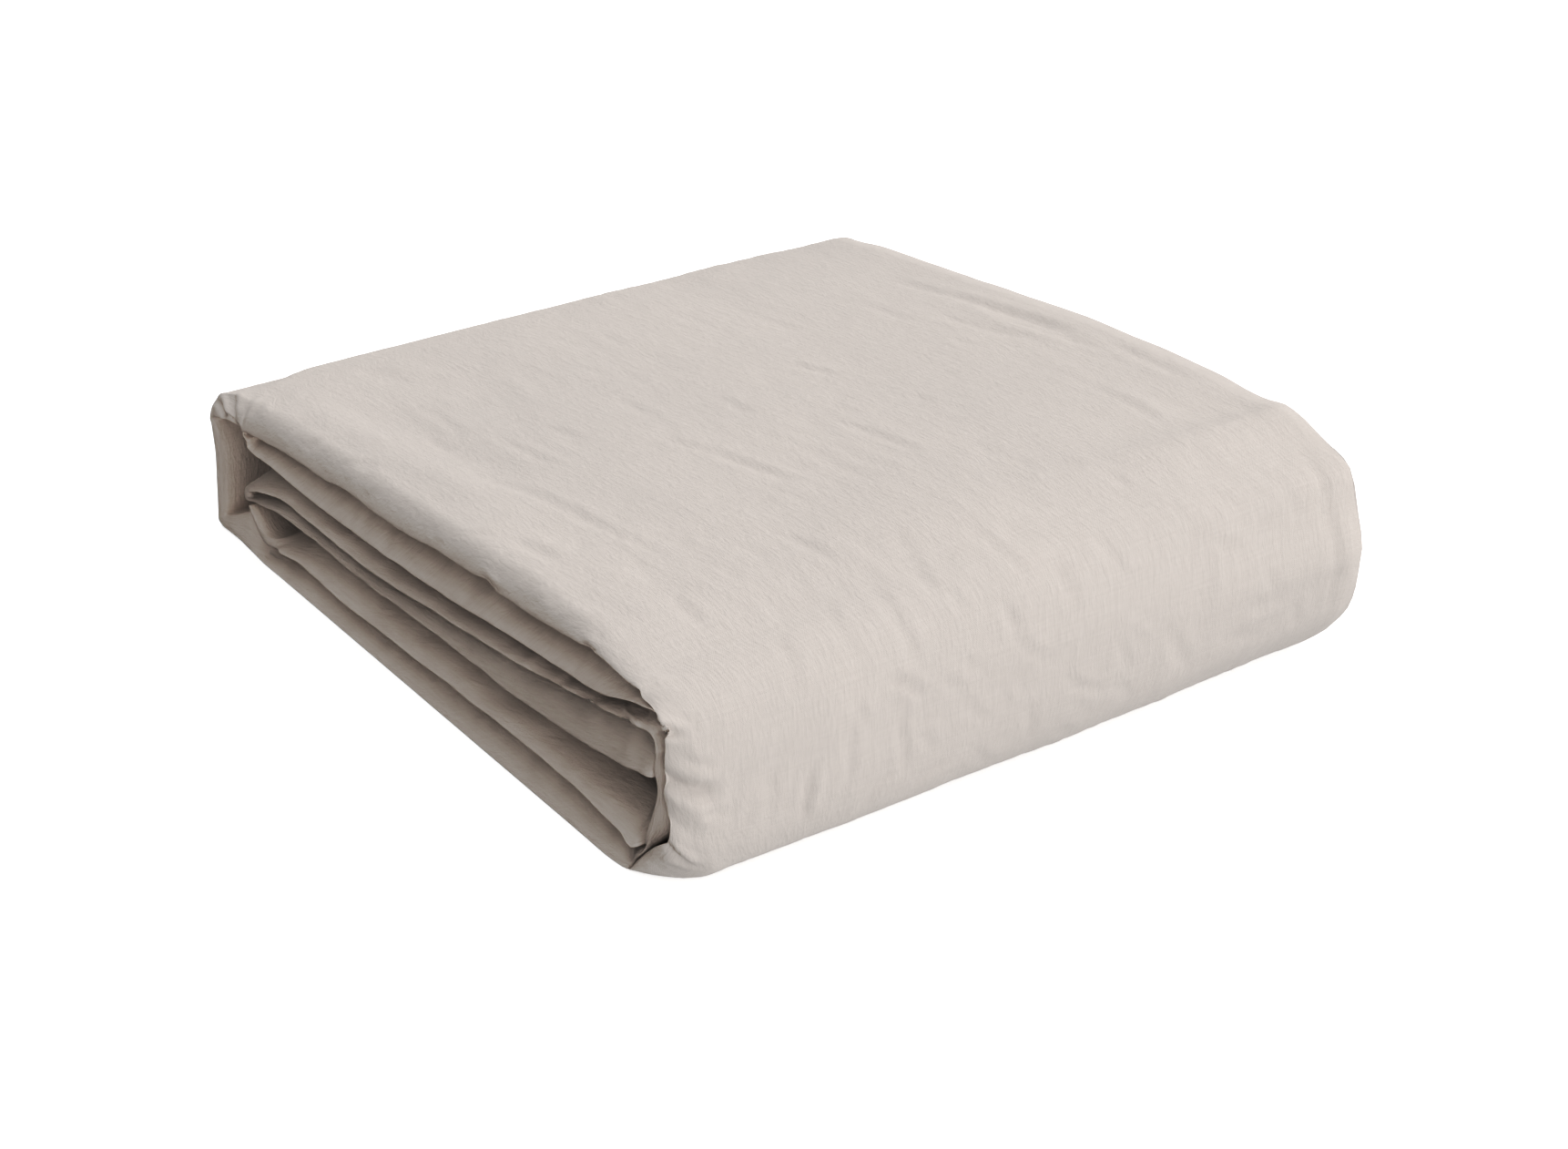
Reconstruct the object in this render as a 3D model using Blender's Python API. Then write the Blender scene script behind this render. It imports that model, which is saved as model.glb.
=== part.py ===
"""A folded fitted sheet: a flattened strip of cloth, several plies thick, wrapped into a packet.

Metres, +Z up. X runs across the packet, from the wrapped left side to the big soft fold on the
right. Y runs along the folds, from the open near end (-Y), where the layers show, to the far end.
The origin is at the middle of the footprint, on the surface that the packet lies on.

The packet is one ribbon-shaped solid. Its path starts at the hem tucked under the right corner,
goes up the right side, back over the top, down the left side, along the bottom, up inside the
right side, and then to and fro as the inner layers C1, C2 and D, which ends in a short upturned
flap. Tables give the near end's section in millimetres: u across and z up.
"""

import math

import bmesh
import bpy
import numpy as np

NAME = "fitted_sheet"
MM = 0.001

DEPTH = 338.0          # along the folds, from the near end to the far end
GAP = 1.5              # air between two layers
SPAN = 395.0           # across the packet at the near end
STATION = 23.0         # distance between two sections of the ribbon on the long runs
TURN_STATION = 8.0     # and where it turns
SMALL = 0.15

# Height of each layer's lower ridge at the near end, and of the top surface.  (u, z)
TOP_LINE = ((4, 68.2), (40, 72.2), (100, 77.2), (190, 82.7), (260, 86.2), (310, 87.6), (338, 87.0), (356, 84.2), (370, 80.5))
A_LINE = ((40, 60.5), (92, 65.5), (136, 68.5), (200, 71.5), (260, 75.5), (320, 79.0), (346, 81.0), (366, 77.5))
B_LINE = ((46, 52.0), (90, 51.5), (150, 52.0), (190, 54.0), (222, 55.5), (264, 59.5), (317, 63.5), (350, 66.8), (368, 71.5))
C1_LINE = ((38, 32.0), (59, 38.0), (90, 39.5), (160, 40.0), (228, 46.0), (289, 52.0), (333, 58.5), (364, 62.5))
C2_LINE = ((38, 26.5), (51, 29.5), (70, 31.7), (145, 32.3), (218, 35.0), (298, 37.7), (334, 40.0), (356, 42.7))
D_LINE = ((40, 7.6), (51, 10.3), (64, 12.6), (142, 13.5), (200, 15.7), (269, 18.3), (343, 18.3), (360, 15.2))
# Upper side of layer D where it lies clear of layer C2.  (u, z)
D_TOP = ((62, 18.0), (74, 23.0), (90, 27.5), (150, 29.5), (230, 31.0), (290, 30.0), (330, 27.5), (352, 24.5))

# Sections where the ribbon turns. in is the side to the left of its travel, out to the right.
# soft: how far the near edge draws back from its ridge; back: how far the whole edge sits back.
# ridge: 1 the near edge is sharpest on the in side, -1 on the out side, 0 evenly rounded.
COLUMNS = ("u_in", "z_in", "u_out", "z_out", "soft", "back", "ridge")
RIGHT_SIDE = (
    (366.8, 4.6, 368.0, 0.0, 4.0, 0.0, 0.6),
    (371.5, 11.5, 379.0, 0.0, 9.0, 0.0, 0.8),
    (378.5, 17.6, 388.0, 4.0, 14.0, 0.0, 1.0),
    (386.0, 23.2, 393.0, 13.5, 16.0, 0.0, 1.0),
    (388.2, 31.0, 395.0, 28.0, 16.0, 0.0, 1.0),
    (385.6, 43.0, 394.8, 42.0, 16.0, 0.0, 1.0),
    (385.8, 56.0, 393.8, 56.5, 16.0, 0.0, 1.0),
    (386.6, 67.0, 389.5, 69.0, 16.0, 0.0, 1.0),
    (381.5, 73.2, 381.0, 76.8, 16.0, 0.0, 1.0),
)
LEFT_SIDE = (
    (24.0, 60.5, 20.0, 69.5, 5.0, 0.0, 0.8),
    (9.0, 58.5, 3.0, 66.8, 3.5, 0.0, 0.5),
    (2.4, 52.5, -3.8, 55.5, 1.5, 0.2, 0.0),
    (3.8, 36.0, 0.2, 37.0, 1.2, 0.0, 0.0),
    (3.0, 18.0, -0.8, 18.5, 1.2, 0.0, 0.0),
    (2.4, 7.5, -2.0, 6.5, 1.2, 0.0, 0.0),
    (8.0, 4.8, 2.0, 0.0, 2.0, 0.0, -0.5),
    (28.0, 4.6, 24.0, 0.0, 2.5, 0.0, -0.8),
)
INNER_RIGHT = (
    (361.5, 14.0, 361.5, 0.9, 5.0, 0.2, -0.7),
    (369.0, 14.4, 368.6, 9.6, 5.0, 0.3, 0.2),
    (372.2, 19.5, 379.6, 20.6, 3.0, 0.0, 0.8),
    (376.3, 30.0, 386.3, 29.5, 3.0, 0.2, 0.8),
    (379.8, 41.5, 383.9, 41.5, 4.0, 0.8, 0.8),
    (378.4, 49.0, 384.0, 50.5, 9.0, 1.5, 0.9),
    (378.6, 56.0, 384.4, 61.0, 10.0, 1.5, 0.9),
    (376.0, 61.2, 380.5, 68.6, 10.0, 1.5, 0.9),
    (370.5, 63.0, 372.5, 70.6, 9.0, 1.0, 1.0),
)
LEFT_TIP = (
    (35.5, 31.2, 32.0, 34.5, 3.0, 0.0, 0.6),
    (34.6, 30.2, 28.0, 30.4, 2.0, 0.8, 0.0),
    (35.5, 29.2, 31.0, 26.2, 2.0, 0.3, -0.6),
)
INNER_TURN = (
    (369.5, 60.6, 364.0, 43.8, 8.0, 12.0, -0.2),
    (375.4, 54.5, 366.6, 41.5, 6.0, 26.0, 0.0),
    (374.0, 43.0, 365.0, 35.5, 6.0, 30.0, 0.0),
    (367.5, 28.0, 360.0, 28.5, 6.0, 26.0, 0.0),
    (359.5, 18.2, 355.0, 25.0, 7.0, 10.0, 0.3),
)
FLAP = (
    (49.5, 9.9, 55.5, 14.8, 3.0, 0.0, 0.4),
    (44.5, 12.8, 48.0, 15.4, 1.2, 0.0, 0.0),
    (38.5, 18.2, 41.0, 19.8, 1.2, 0.0, 0.0),
    (33.8, 23.4, 36.0, 24.4, 1.2, 0.0, 0.0),
)

# The packet at its far end against its near end.
FAR_RISE = ((0, 1.14), (100, 1.178), (190, 1.188), (260, 1.174), (320, 1.17), (352, 1.18), (376, 1.18), (400, 1.13))  # (u, height far / near)
FAR_SHIFT_LEFT = 3.0
FAR_SHIFT_RIGHT = -14.5
FAR_SWELL = 7.0        # the right side bellies out by this at mid height
FAR_TUCK = -7.5        # and draws in by this along the bottom
MIDDLE_CROWN = 1.5
CORNER_ROUND = 0.002   # 1/mm: the near right corner curves back from the near face past CORNER_FROM
CORNER_FROM = 345.0
FOOT_ROUND = 0.008     # 1/mm: and along its foot more strongly, past FOOT_FROM
FOOT_FROM = 355.0
LAYER_PULL = 15.0      # inside the packet the layers reach this much closer to the left side

NEAR_STEPS = 4         # points round each half of the near edge
ALONG = (0.0, 0.06, 0.2, 0.4, 0.6, 0.8, 0.94, 1.0)


def line(table, u):
    """Smooth height of a ridge line at u."""
    xs = np.array([row[0] for row in table], float)
    zs = np.array([row[1] for row in table], float)
    slope = np.gradient(zs, xs)
    u = float(np.clip(u, xs[0], xs[-1]))
    i = int(np.clip(np.searchsorted(xs, u) - 1, 0, len(xs) - 2))
    h = xs[i + 1] - xs[i]
    t = (u - xs[i]) / h
    return float(
        zs[i] * (1 + 2 * t) * (1 - t) ** 2
        + zs[i + 1] * t * t * (3 - 2 * t)
        + h * slope[i] * t * (1 - t) ** 2
        + h * slope[i + 1] * t * t * (t - 1)
    )


def steps(start, end, spacing):
    count = max(2, int(round(abs(end - start) / spacing)) + 1)
    return np.linspace(start, end, count)


def run(start, end, low, high, soft, ridge, groove=None):
    """Sections of a layer from u = start to end, between its low and high sides."""
    made = []
    for u in steps(start, end, STATION):
        a, b = low(u), high(u)
        inner, outer = (b, a) if end > start else (a, b)
        made.append((u, inner, u, outer, soft(u), 0.0, ridge, groove(u) if groove else 0.0))
    return made


def smooth_rows(rows):
    """Rows between the given ones where the ribbon turns, on a centripetal Catmull-Rom curve through every column."""
    rows = np.array(rows, float)
    mid = (rows[:, 0:2] + rows[:, 2:4]) / 2
    out_gap = np.linalg.norm(np.diff(rows[:, 2:4], axis=0), axis=1)
    in_gap = np.linalg.norm(np.diff(rows[:, 0:2], axis=0), axis=1)
    gap = np.maximum(np.maximum(out_gap, in_gap), 0.5)
    knot = np.concatenate([[0], np.cumsum(np.sqrt(gap))])
    made = [rows[0]]
    for i in range(len(rows) - 1):
        p0, p1, p2, p3 = (rows[int(np.clip(j, 0, len(rows) - 1))] for j in (i - 1, i, i + 1, i + 2))
        k1, k2 = knot[i], knot[i + 1]
        k0 = knot[i - 1] if i else 2 * k1 - k2
        k3 = knot[i + 2] if i + 2 < len(knot) else 2 * k2 - k1
        m1 = (p2 - p1) if not i else (p1 - p0) / (k1 - k0) * (k2 - k1) * (k2 - k1) / (k2 - k0) + (p2 - p1) * (k1 - k0) / (k2 - k0)
        m2 = (p2 - p1) if i + 2 >= len(rows) else (p3 - p2) / (k3 - k2) * (k2 - k1) * (k2 - k1) / (k3 - k1) + (p2 - p1) * (k3 - k2) / (k3 - k1)
        count = max(1, int(math.ceil(gap[i] / TURN_STATION))) if gap[i] < 0.8 * STATION else 1
        for j in range(1, count + 1):
            t = j / count
            made.append(
                p1 * (1 + 2 * t) * (1 - t) ** 2 + p2 * t * t * (3 - 2 * t) + m1 * t * (1 - t) ** 2 + m2 * t * t * (t - 1)
            )
    for row in made:
        row[3] = max(row[3], 0.0)
    return made


def turn(rows):
    return [tuple(row) + (0.0,) for row in rows]


def ribbon():
    """All sections in order: (u_in, z_in, u_out, z_out, soft, back, ridge, groove)."""

    def groove(u):
        thick = line(TOP_LINE, u) - line(B_LINE, u)
        return (line(A_LINE, u) - line(B_LINE, u)) / thick * min(1.0, max(0.0, (u - 44) / 12))

    top = run(368, 46, lambda u: line(B_LINE, u), lambda u: line(TOP_LINE, u),
              lambda u: 9 + 9 * u / SPAN, 1.0, groove)
    bottom = run(44, 352, lambda u: 0.0, lambda u: line(D_LINE, u) - GAP, lambda u: 7.5, -1.0)
    c1 = run(362, 46, lambda u: line(C1_LINE, u), lambda u: min(line(B_LINE, u) - GAP, 35.0 + 0.75 * (u - 33)),
             lambda u: 9.0, 1.0)
    c2 = run(44, 356, lambda u: line(C2_LINE, u), lambda u: line(C1_LINE, u) - GAP, lambda u: 6.0, -1.0)
    d = run(348, 64, lambda u: line(D_LINE, u), lambda u: min(line(D_TOP, u), line(C2_LINE, u) - GAP), lambda u: 10.0, 1.0)
    key = [r for part in (turn(RIGHT_SIDE), top, turn(LEFT_SIDE), bottom, turn(INNER_RIGHT), c1,
                          turn(LEFT_TIP), c2, turn(INNER_TURN), d, turn(FLAP)) for r in part]
    return smooth_rows(key)


def near_edge(soft, back, ridge, groove):
    """Points (w, v) round the near edge, from the in side (w = 0) to the out side (w = 1)."""
    points = []
    split = groove if groove > 0.05 else 0.4
    strength = min(1.0, groove / 0.15)
    lower = [split * math.sin(math.pi / 2 * i / NEAR_STEPS) for i in range(NEAR_STEPS + 1)]
    upper = [split + (1 - split) * math.sin(math.pi / 2 * i / NEAR_STEPS) for i in range(NEAR_STEPS + 1)]
    for w in lower[:-1] + [split - SMALL / 20] + upper:
        w = float(np.clip(w, 0, 1))
        on_in = 1 - math.sqrt(max(0.0, 1 - w * w))
        on_out = 1 - math.sqrt(max(0.0, 1 - (1 - w) ** 2))
        even = 1 - math.sqrt(max(0.0, 1 - (2 * w - 1) ** 2))
        plain = (on_in if ridge > 0 else on_out) * abs(ridge) + even * (1 - abs(ridge))
        if w < split:
            q = w / split
            double = 0.55 * (1 - math.sqrt(max(0.0, 1 - q * q)))
        else:
            q = (w - split) / (1 - split)
            double = 1 - math.sqrt(max(0.0, 1 - q * q))
        points.append((w, back + soft * (plain * (1 - strength) + double * strength)))
    return points


def far_edge(thick):
    """Points (w, distance from the far end), from the out side to the in side: a plain rounded edge."""
    depth = min(6.0, thick / 2)
    turns = 4
    return [((1 + math.cos(math.pi * i / turns)) / 2, depth * (1 - math.sin(math.pi * i / turns))) for i in range(turns + 1)]


def ease(x):
    x = min(max(x, 0.0), 1.0)
    return x * x * (3 - 2 * x)


def settle(u, v, z):
    """Move a point of the straight extrusion to its place in the uneven packet."""
    s = v / DEPTH
    across = min(max(u / SPAN, 0.0), 1.0)
    deep = ease((v - 6.0) / 40.0)
    pull = LAYER_PULL * deep * ease((u - 5.0) / 24.0) * ease((130.0 - u) / 80.0)
    rise = 1 + (line(FAR_RISE, u) - 1) * s + MIDDLE_CROWN / 80.0 * math.sin(math.pi * s)
    right = min(1.0, max(0.0, (u - 290.0) / 90.0)) ** 2
    belly = math.sin(math.pi * min(max(z / 84.0, 0.0), 1.0)) ** 1.5
    low = max(0.0, 1 - z / 26.0) ** 2
    back = CORNER_ROUND * max(0.0, u - CORNER_FROM) ** 2 + FOOT_ROUND * max(0.0, u - FOOT_FROM) ** 2 * low
    u = u - pull + FAR_SHIFT_LEFT * s * (1 - across) + (FAR_SHIFT_RIGHT + FAR_SWELL * belly + FAR_TUCK * low) * s * right
    v = v + back * max(0.0, 1 - v / 70.0)
    return u, v, z * rise


def loop_of(row):
    """The closed ring of points of one section of the ribbon."""
    u_in, z_in, u_out, z_out, soft, back, ridge, groove = row
    thick = math.hypot(u_out - u_in, z_out - z_in)
    near = near_edge(soft, back, ridge, groove)
    far = far_edge(thick)
    ring = [(w, v) for w, v in near]
    start, end = near[-1][1], DEPTH - far[0][1]
    ring += [(1.0, start + (end - start) * t) for t in ALONG[1:-1]]
    ring += [(w, DEPTH - d) for w, d in far]
    start, end = DEPTH - far[-1][1], near[0][1]
    ring += [(0.0, start + (end - start) * t) for t in ALONG[1:-1]]
    return [settle(u_in + (u_out - u_in) * w, v, z_in + (z_out - z_in) * w) for w, v in ring]


def packet():
    rings = [loop_of(row) for row in ribbon()]
    mesh = bpy.data.meshes.new(NAME)
    bm = bmesh.new()
    grid = [[bm.verts.new([c * MM for c in p]) for p in ring] for ring in rings]
    count = len(grid[0])
    for a, b in zip(grid, grid[1:]):
        for j in range(count):
            k = (j + 1) % count
            bm.faces.new((a[j], a[k], b[k], b[j]))
    for ring, flip in ((grid[0], True), (grid[-1], False)):
        bm.faces.new(ring[::-1] if flip else ring)
    bmesh.ops.triangulate(bm, faces=[f for f in bm.faces if len(f.verts) > 4])
    bmesh.ops.triangulate(bm, faces=bm.faces[:])
    bmesh.ops.recalc_face_normals(bm, faces=bm.faces[:])
    low = [min(v.co[i] for v in bm.verts) for i in range(3)]
    high = [max(v.co[i] for v in bm.verts) for i in range(3)]
    bmesh.ops.translate(bm, verts=bm.verts[:], vec=(-(low[0] + high[0]) / 2, -(low[1] + high[1]) / 2, -low[2]))
    bm.to_mesh(mesh)
    bm.free()
    mesh.shade_smooth()
    mesh.set_sharp_from_angle(angle=math.radians(50))
    return mesh


def cloth_material():
    material = bpy.data.materials.new("greige_cloth")
    material.use_nodes = True
    shader = material.node_tree.nodes["Principled BSDF"]
    shader.inputs["Base Color"].default_value = (0.66, 0.61, 0.57, 1.0)
    shader.inputs["Roughness"].default_value = 0.92
    shader.inputs["Metallic"].default_value = 0.0
    return material


def main():
    for item in list(bpy.data.objects):
        bpy.data.objects.remove(item, do_unlink=True)
    collection = bpy.data.collections.new("folded_fitted_sheet")
    bpy.context.scene.collection.children.link(collection)
    mesh = packet()
    mesh.materials.append(cloth_material())
    collection.objects.link(bpy.data.objects.new(NAME, mesh))


main()
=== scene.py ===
"""Looks of the folded fitted sheet: one sheet of cloth in eight plies, wrapped into a packet.

Lengths in the tables are millimetres in the packet's own section: u across the near end, z up and
v along the folds. The CAD frame is in metres with its origin at the middle of the footprint.
"""
import math

import bpy
import numpy as np
from mathutils import Matrix


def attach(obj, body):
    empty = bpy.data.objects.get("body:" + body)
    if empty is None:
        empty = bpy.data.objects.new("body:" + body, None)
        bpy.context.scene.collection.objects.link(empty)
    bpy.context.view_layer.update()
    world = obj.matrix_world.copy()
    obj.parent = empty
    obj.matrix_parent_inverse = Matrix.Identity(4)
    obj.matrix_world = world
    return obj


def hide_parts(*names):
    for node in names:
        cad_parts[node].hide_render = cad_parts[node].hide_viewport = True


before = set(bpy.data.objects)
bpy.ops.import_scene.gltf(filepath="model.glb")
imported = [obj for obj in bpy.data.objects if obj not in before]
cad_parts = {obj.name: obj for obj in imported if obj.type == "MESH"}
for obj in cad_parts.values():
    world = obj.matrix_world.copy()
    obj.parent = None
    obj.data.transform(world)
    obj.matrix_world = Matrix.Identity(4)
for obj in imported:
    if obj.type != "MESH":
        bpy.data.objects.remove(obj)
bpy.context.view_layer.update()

MM = 0.001

# ---------------------------------------------------------------- the packet's section, as in the CAD
DEPTH = 338.0
GAP = 1.5
SPAN = 395.0
STATION = 23.0
SHIFT = (195.462, 169.0)  # the CAD origin in u and v

TOP_LINE = ((4, 68.2), (40, 72.2), (100, 77.2), (190, 82.7), (260, 86.2), (310, 87.6), (338, 87.0), (356, 84.2), (370, 80.5))
A_LINE = ((40, 60.5), (57, 62.3), (73, 64.0), (92, 65.5), (114, 66.1), (136, 68.8), (163, 69.3), (198, 70.9), (221, 73.8), (249, 75.1),
          (261, 76.9), (269, 75.6), (281, 75.8), (318, 78.6), (337, 80.6), (346, 81.2), (366, 78.6))
B_LINE = ((46, 52.0), (90, 51.5), (150, 52.0), (190, 54.0), (222, 55.5), (264, 59.5), (317, 63.5), (350, 66.8), (368, 71.5))
C1_LINE = ((38, 32.0), (59, 38.0), (90, 39.5), (160, 40.0), (228, 46.0), (289, 52.0), (333, 58.5), (364, 62.5))
C2_LINE = ((38, 26.5), (51, 29.5), (70, 31.7), (145, 32.3), (218, 35.0), (298, 37.0), (332, 39.8), (352, 41.9), (370, 44.7))
D_LINE = ((40, 7.6), (51, 10.3), (64, 12.6), (142, 13.5), (200, 15.7), (269, 17.6), (305, 18.2), (330, 17.2), (346, 17.0), (352, 14.8), (362, 13.4))
D_TOP = ((62, 18.0), (74, 23.0), (90, 27.5), (150, 29.5), (230, 31.0), (290, 30.0), (330, 27.5), (352, 25.0))

# Turning sections: u_in, z_in, u_out, z_out, soft, back, ridge, split, strength.
# soft: how far the near edge draws back from its ridge; back: how far the whole edge sits back.
# ridge: 1 sharpest on the in side, -1 on the out side. split, strength: place and depth of the
# shelf where the upper lip hangs over the lower one.
RIGHT_SIDE = (
    (362.6, 2.0, 362.2, 0.0, 3.0, 0.0, 0.6, 0.4, 0),
    (366.4, 6.0, 369.0, 0.0, 5.0, 0.0, 0.7, 0.4, 0),
    (371.3, 11.6, 379.0, 0.0, 11.0, 0.0, 0.8, 0.4, 0),
    (378.5, 17.6, 388.0, 4.0, 16.0, 0.0, 1.0, 0.4, 0),
    (386.0, 23.2, 393.0, 13.5, 14.0, 0.0, 1.0, 0.4, 0),
    (388.2, 31.0, 395.0, 28.0, 11.5, 0.0, 1.0, 0.4, 0),
    (385.6, 43.0, 394.8, 42.0, 11.0, 0.0, 1.0, 0.3, 0),
    (385.8, 56.0, 393.8, 56.5, 12.0, 0.0, 1.0, 0.1, 0),
    (386.6, 67.0, 389.5, 69.0, 13.0, 0.0, 1.0, 0.06, 0),
    (381.5, 73.2, 381.0, 76.8, 12.5, 0.0, 1.0, 0.06, 0.5),
    (375.2, 72.7, 375.2, 79.4, 11.5, 0.0, 1.0, 0.5, 1),
)
LIP_END = (
    (41.6, 52.2, 41.2, 72.3, 10.6, 0.0, 1.0, 0.42, 1),
    (38.6, 53.0, 39.4, 72.1, 10.2, 0.0, 1.0, 0.38, 1),
    (38.2, 55.6, 38.0, 72.0, 9.8, 0.0, 1.0, 0.29, 1),
    (36.4, 56.8, 36.6, 71.8, 9.2, 0.0, 1.0, 0.2, 1),
    (34.6, 57.6, 34.8, 71.5, 8.6, 0.0, 1.0, 0.12, 1),
    (33.8, 60.2, 33.0, 71.3, 8.0, 0.0, 1.0, 0.04, 1),
)
LEFT_SIDE = (
    (24.0, 60.3, 20.0, 69.8, 7.0, 0.0, 1.0, 0.2, 0.2),
    (12.0, 58.0, 8.8, 67.3, 6.0, 0.0, 1.0, 0.4, 0),
    (3.4, 55.8, 0.6, 64.3, 4.5, 0.0, 0.9, 0.4, 0),
    (0.4, 53.0, -3.4, 57.5, 3.0, 0.0, 0.4, 0.4, 0),
    (1.6, 48.0, -2.4, 49.5, 3.0, 0.0, -0.5, 0.4, 0),
    (3.4, 36.0, 0.2, 37.0, 3.5, 0.0, -0.9, 0.4, 0),
    (2.6, 20.0, -1.4, 20.0, 3.5, 0.0, -0.9, 0.4, 0),
    (1.2, 9.2, -3.0, 6.6, 2.8, 0.0, -0.8, 0.4, 0),
    (0.8, 6.4, -3.8, 2.4, 2.4, 0.0, -0.6, 0.4, 0),
    (3.8, 6.8, 0.6, 0.9, 3.4, 0.0, -0.8, 0.4, 0),
    (10.0, 9.4, 8.0, 0.6, 5.5, 0.0, -0.8, 0.4, 0),
    (20.0, 12.6, 19.0, 0.2, 8.0, 0.0, -0.8, 0.4, 0),
    (31.0, 10.8, 31.0, 0.0, 9.0, 0.0, -0.9, 0.4, 0),
)
INNER_RIGHT = (
    (361.0, 11.8, 361.9, 0.0, 8.0, 0.2, -0.9, 0.4, 0),
    (366.0, 11.4, 365.2, 5.4, 5.0, 0.3, -0.4, 0.4, 0),
    (371.0, 12.9, 370.2, 10.9, 4.0, 0.2, 0.2, 0.4, 0),
    (373.4, 19.5, 379.8, 20.6, 3.0, 0.0, 0.8, 0.4, 0),
    (377.6, 30.0, 386.3, 29.5, 3.0, 0.0, 0.8, 0.4, 0),
    (381.0, 41.5, 385.0, 41.5, 4.0, 0.0, 0.8, 0.4, 0),
    (379.0, 49.0, 385.0, 50.5, 9.0, 0.0, 0.9, 0.4, 0),
    (380.2, 57.0, 385.6, 61.0, 10.0, 0.0, 0.9, 0.4, 0),
    (377.6, 62.6, 382.0, 68.8, 10.0, 0.0, 0.9, 0.4, 0),
    (370.6, 63.6, 372.5, 71.0, 10.0, 0.0, 1.0, 0.4, 0),
)
LEFT_TIP = (
    (35.0, 30.4, 31.0, 33.6, 6.0, 0.0, 0.9, 0.4, 0),
    (33.6, 29.3, 27.2, 29.4, 2.2, 0.6, 0.2, 0.4, 0),
    (35.0, 28.4, 30.0, 25.8, 2.6, 0.2, -0.8, 0.4, 0),
)
INNER_TURN = (
    (370.5, 60.6, 370.0, 44.7, 6.5, 0.3, -1.0, 0.4, 0),
    (377.2, 58.6, 378.4, 45.8, 5.5, 0.5, -1.0, 0.4, 0),
    (377.2, 52.5, 371.5, 43.8, 5.0, 34.0, 0.0, 0.4, 0),
    (375.0, 43.0, 365.0, 36.5, 6.0, 70.0, 0.0, 0.4, 0),
    (371.0, 30.0, 362.5, 29.5, 6.0, 62.0, 0.0, 0.4, 0),
    (370.0, 19.0, 362.0, 26.0, 8.0, 34.0, 0.2, 0.4, 0),
    (368.2, 12.8, 361.0, 24.6, 15.0, 0.0, 1.0, 0.4, 0),
)
FLAP = (
    (49.5, 9.9, 55.5, 14.8, 3.0, 0.0, 0.4, 0.4, 0),
    (44.5, 12.8, 48.0, 15.4, 1.2, 0.0, 0.0, 0.4, 0),
    (38.5, 18.2, 41.0, 19.8, 1.2, 0.0, 0.0, 0.4, 0),
    (33.8, 23.4, 36.0, 24.4, 1.2, 0.0, 0.0, 0.4, 0),
)

# The far end against the near end, as in the CAD.
FAR_RISE = ((0, 1.14), (100, 1.178), (190, 1.188), (260, 1.174), (320, 1.17), (352, 1.18), (376, 1.18), (400, 1.13))
FAR_SHIFT_LEFT = 3.0
FAR_SHIFT_RIGHT = -14.5
FAR_SWELL = 7.0
FAR_TUCK = -7.5
MIDDLE_CROWN = 1.5
CORNER_ROUND = 0.002
CORNER_FROM = 345.0
FOOT_ROUND = 0.008
FOOT_FROM = 355.0
LAYER_PULL = 15.0

# ---------------------------------------------------------------- how finely the cloth is modelled
ROW = 1.0             # distance between the section's rows
FINE = 2.1            # spacing of the columns on the side that shows
CORNER_INSET = 3.5    # how far the big fold turns in towards its near corner


def line(table, u):
    """Smooth height of a ridge line at u, which may be an array."""
    xs = np.array([row[0] for row in table], float)
    zs = np.array([row[1] for row in table], float)
    slope = np.gradient(zs, xs)
    u = np.clip(np.asarray(u, float), xs[0], xs[-1])
    i = np.clip(np.searchsorted(xs, u) - 1, 0, len(xs) - 2)
    h = xs[i + 1] - xs[i]
    t = (u - xs[i]) / h
    return (
        zs[i] * (1 + 2 * t) * (1 - t) ** 2
        + zs[i + 1] * t * t * (3 - 2 * t)
        + h * slope[i] * t * (1 - t) ** 2
        + h * slope[i + 1] * t * t * (t - 1)
    )


def ease(x):
    x = np.clip(x, 0.0, 1.0)
    return x * x * (3 - 2 * x)


def run(start, end, low, high, soft, ridge, split=None):
    """Key sections of a layer from u = start to end, between its low and high sides."""
    made = []
    for u in np.linspace(start, end, max(2, int(round(abs(end - start) / STATION)) + 1)):
        a, b = float(low(u)), float(high(u))
        inner, outer = (b, a) if end > start else (a, b)
        made.append((u, inner, u, outer, soft(u), 0.0, ridge, float(split(u)) if split else 0.4, 1.0 if split else 0.0))
    return made


def key_rows():
    def split(u):
        return (line(A_LINE, u) - line(B_LINE, u)) / (line(TOP_LINE, u) - line(B_LINE, u))

    top = run(368, 46, lambda u: line(B_LINE, u), lambda u: line(TOP_LINE, u), lambda u: 8.5 + 1.0 * u / SPAN, 1.0, split)
    bottom = run(44, 352, lambda u: 0.0, lambda u: line(D_LINE, u) - GAP, lambda u: 13.0, -1.0)
    c1 = run(362, 46, lambda u: line(C1_LINE, u), lambda u: min(line(B_LINE, u) - GAP, 35.0 + 0.75 * (u - 33)), lambda u: 15.0, 1.0)
    c2 = run(44, 363, lambda u: line(C2_LINE, u), lambda u: line(C1_LINE, u) - GAP, lambda u: 6.5, -1.0)
    d = run(356, 64,lambda u: line(D_LINE, u), lambda u: min(line(D_TOP, u), line(C2_LINE, u) - GAP), lambda u: 17.0, 1.0)
    parts = (list(RIGHT_SIDE), top, list(LIP_END), list(LEFT_SIDE), bottom, list(INNER_RIGHT), c1,
             list(LEFT_TIP), c2, list(INNER_TURN), d, list(FLAP))
    ends = np.cumsum([len(p) for p in parts])
    return np.array([r for part in parts for r in part], float), ends


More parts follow.
